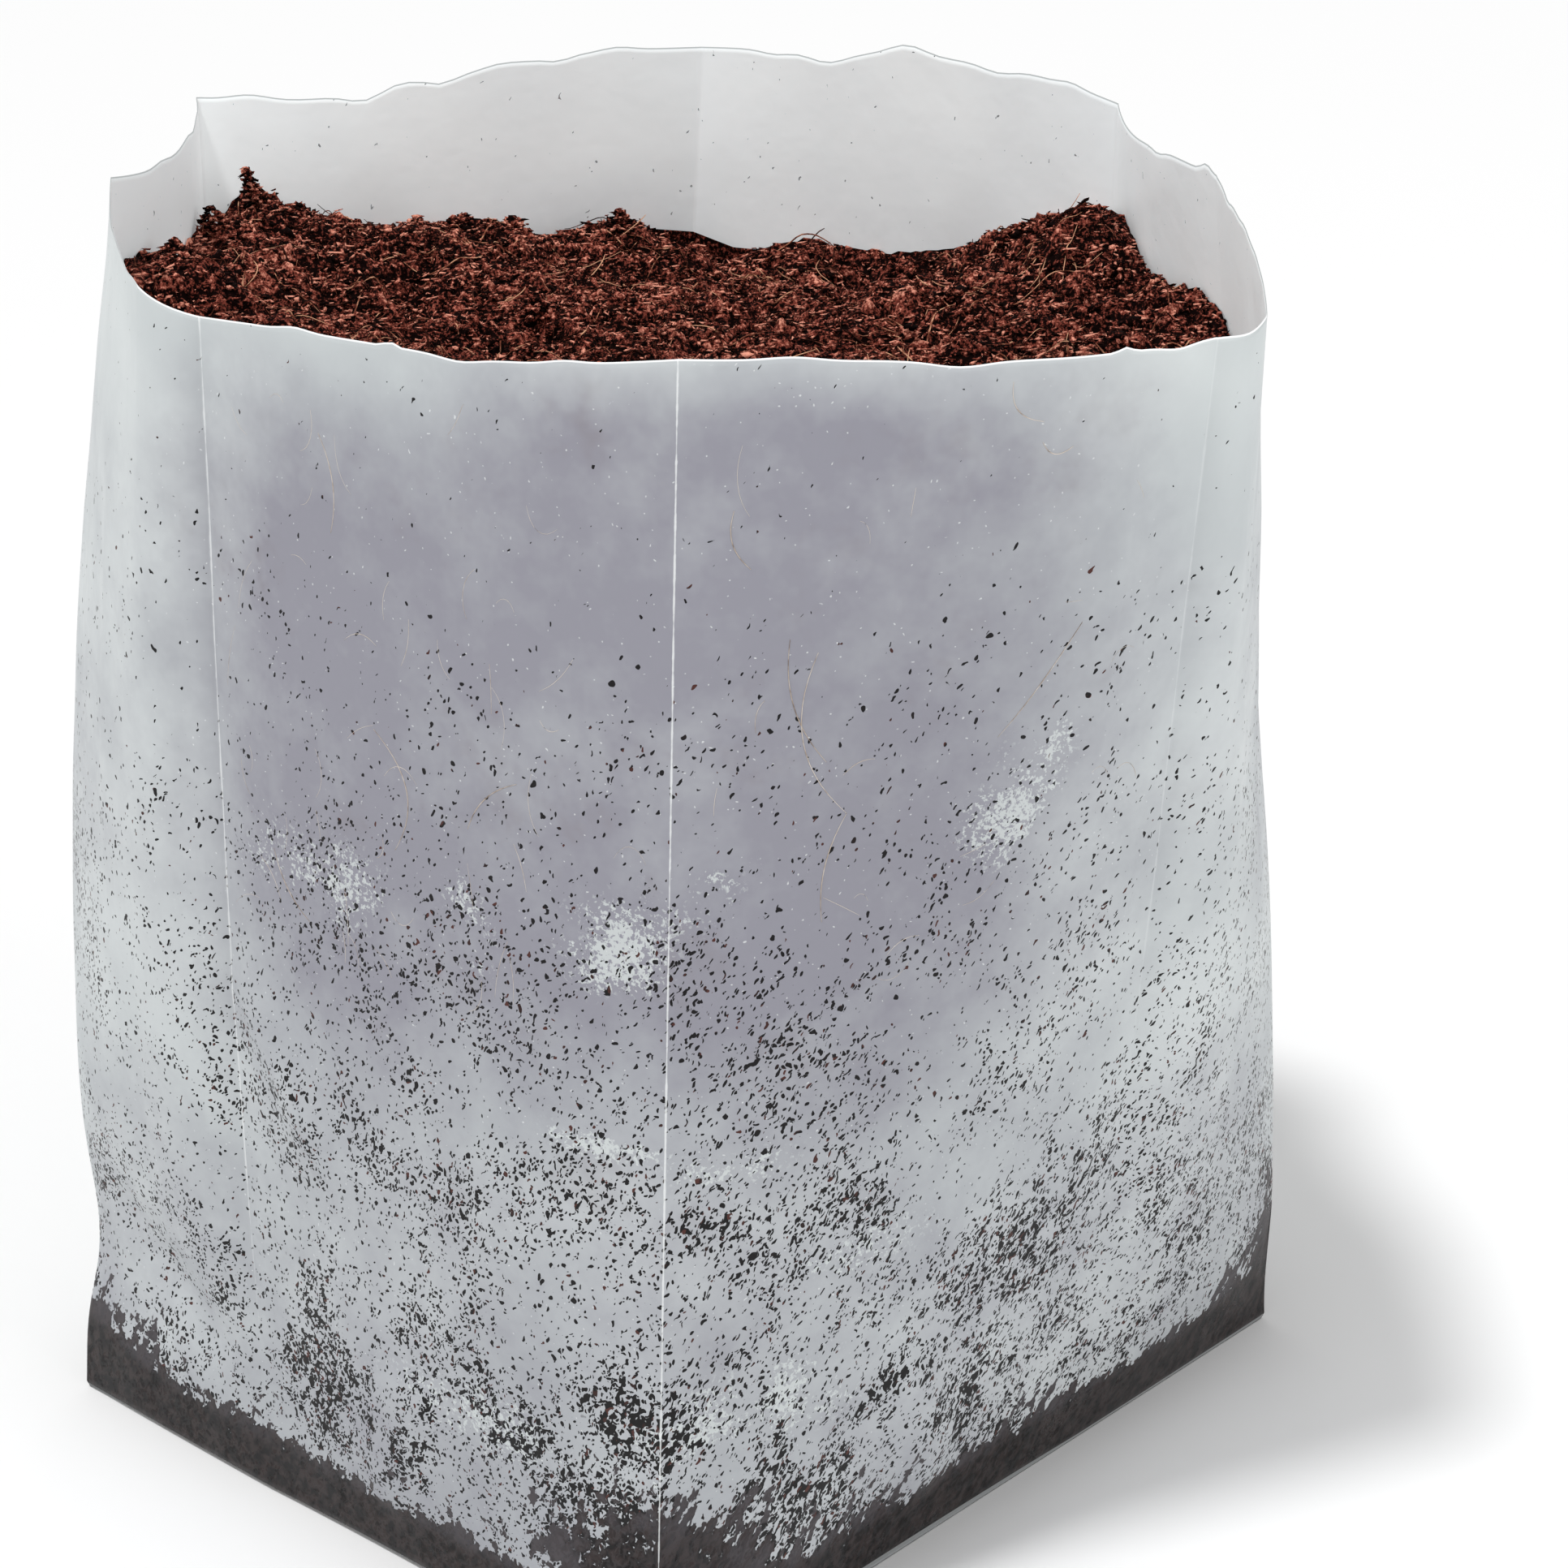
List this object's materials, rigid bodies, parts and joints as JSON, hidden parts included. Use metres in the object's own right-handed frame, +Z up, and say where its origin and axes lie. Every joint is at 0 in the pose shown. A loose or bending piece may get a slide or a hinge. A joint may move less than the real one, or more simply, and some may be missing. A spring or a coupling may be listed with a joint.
{
  "type": "compost bag",
  "caption": "Open gusseted bag of milky translucent film, square at its foot and wavy at its mouth, standing filled with loose brown coir compost.",
  "frame": {"origin": "middle of the bag's flat foot, on the surface that it stands on", "axes": "+Z up through the open mouth, -Y towards the foot's front corner, +X towards its right corner"},
  "size_m": [0.2793, 0.2795, 0.2858],
  "materials": {
    "milky_film": "milky translucent polyethylene film with a soft sheen",
    "coir_compost": "moist shredded coconut fibre, rough and matte"
  },
  "bodies": {
    "root": {"film_bag": "milky_film", "compost": "coir_compost"}
  },
  "joints": []
}
